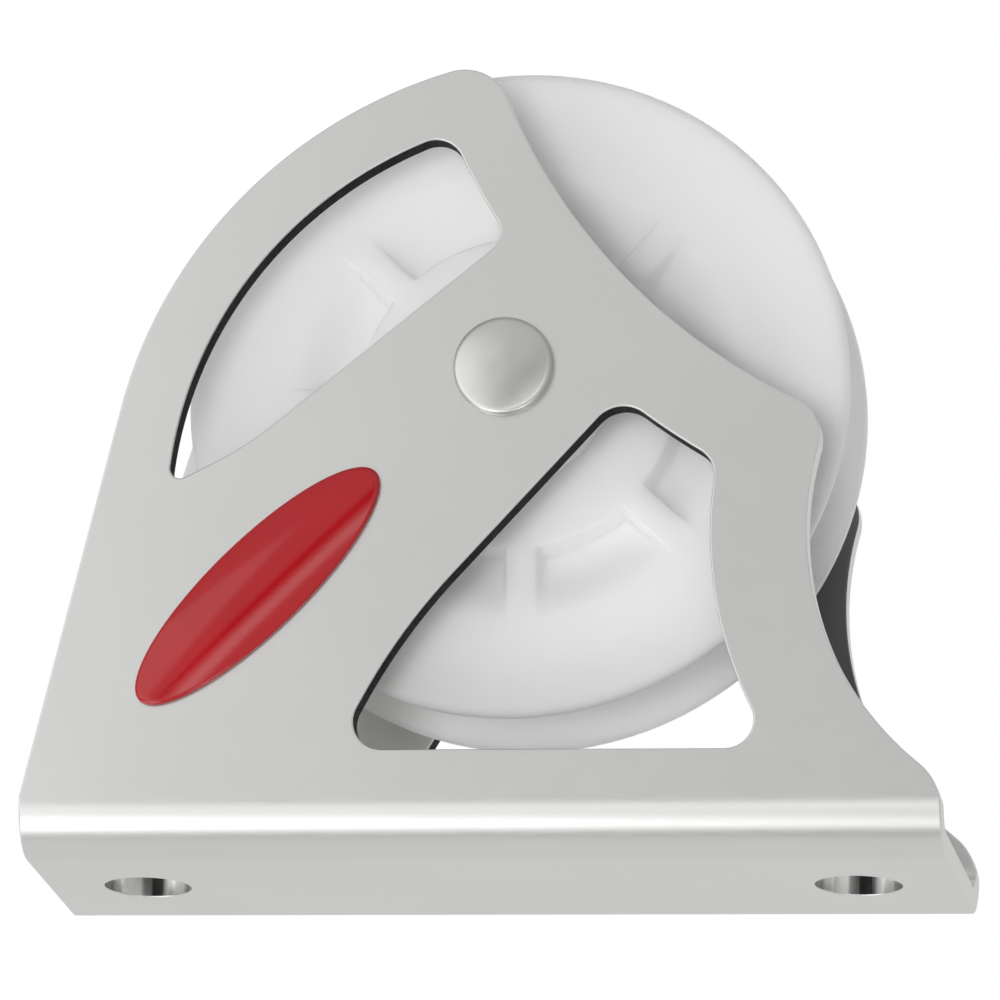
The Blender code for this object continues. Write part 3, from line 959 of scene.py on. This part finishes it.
def soft_lamp(name, place, width, height, glow, spin=0.0, mirrored=True):
    """Area lamp that faces the block's middle; at glow 1 it looks white in a mirror."""
    data = bpy.data.lights.new(name, "AREA")
    data.shape = "RECTANGLE"
    data.size = width
    data.size_y = height
    data.energy = glow * math.pi * width * height
    lamp = bpy.data.objects.new(name, data)
    bpy.context.scene.collection.objects.link(lamp)
    lamp.visible_camera = False
    lamp.visible_glossy = mirrored
    lamp.matrix_world = facing(place, spin)


def dark_card(name, place, width, height, spin):
    """Black card that only metal and resin see."""
    black = new_material(name, (0, 0, 0), roughness=1.0, metallic=0.0)[0]
    card = panel(name, width, height, black)
    card.matrix_world = facing(place, spin)
    card.visible_camera = False
    card.visible_diffuse = False
    card.visible_shadow = False


def set_lamps():
    """Boxes that both light and mirror, fills that only light, and a card that only mirrors."""
    soft_lamp("left_box", (-0.29, -0.30, 0.07), width=0.38, height=0.36, glow=0.75)
    soft_lamp("bench_box", (-0.20, -0.40, -0.12), width=0.42, height=0.18, glow=0.45)
    soft_lamp("low_box", (-0.22, -0.27, -0.34), width=0.40, height=0.25, glow=1.75)
    soft_lamp("strip_box", (0.094, -0.59, -0.012), width=0.09, height=0.35, glow=1.5,
              spin=ALONG_BADGE)
    soft_lamp("key_fill", (-0.055, -0.85, -0.14), width=0.28, height=0.28, glow=12.5,
              mirrored=False)
    soft_lamp("crescent_box", (0.20, -0.27, -0.36), width=0.11, height=0.11, glow=4.5)
    soft_lamp("back_fill", (0.15, 0.85, 0.15), width=0.60, height=0.60, glow=3.2,
              mirrored=False)
    dark_card("gap_card", (0.008, -0.60, 0.079), width=0.075, height=0.45, spin=ALONG_BADGE)


def set_camera():
    """Camera at the photo's angle, with the axle's place on the near cheek at its pixel."""
    az, el, roll = CAMERA_AZIMUTH, CAMERA_ELEVATION, CAMERA_ROLL
    back = Vector((math.sin(az) * math.cos(el), -math.cos(az) * math.cos(el), math.sin(el)))
    level = Vector((math.cos(az), math.sin(az), 0))
    upright = back.cross(level)
    right = level * math.cos(roll) + upright * math.sin(roll)
    up = upright * math.cos(roll) - level * math.sin(roll)
    aside = (AXLE_PIXEL - Vector((PHOTO_SIZE, PHOTO_SIZE)) / 2) / FOCAL_PIXELS
    to_axle = (-back + right * aside.x - up * aside.y) * CAMERA_DISTANCE
    data = bpy.data.cameras.new("camera")
    data.sensor_width = SENSOR
    data.lens = FOCAL_PIXELS / PHOTO_SIZE * SENSOR
    data.clip_start = CLIP_START
    camera = bpy.data.objects.new("camera", data)
    bpy.context.scene.collection.objects.link(camera)
    place = Vector((AXLE.x, -WIDTH_HALF, AXLE.y)) - to_axle
    turn = Matrix((right, up, back)).transposed().to_4x4()
    camera.matrix_world = Matrix.Translation(place) @ turn
    bpy.context.scene.camera = camera


def build():
    set_camera()
    pieces = [
        (folded_frame([satin_steel(), shaded_cut_steel(), bore_painted_reflection_steel()]),
         "stand", "frame", "frame_steel"),
        (closed_rivet(rivet_steel()), "stand", "axle_rivet", "rivet_steel"),
        (domed_badge(red_resin()), "stand", "badge", "badge_red"),
        (moulded_sheave(white_plastic()), "wheel", "sheave", "sheave_plastic"),
    ]
    for piece, body, node, slot in pieces:
        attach(piece, body)
        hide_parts(node)
    pale_floor()
    set_world()
    set_lamps()
    bpy.context.scene.view_settings.view_transform = "Standard"


build()
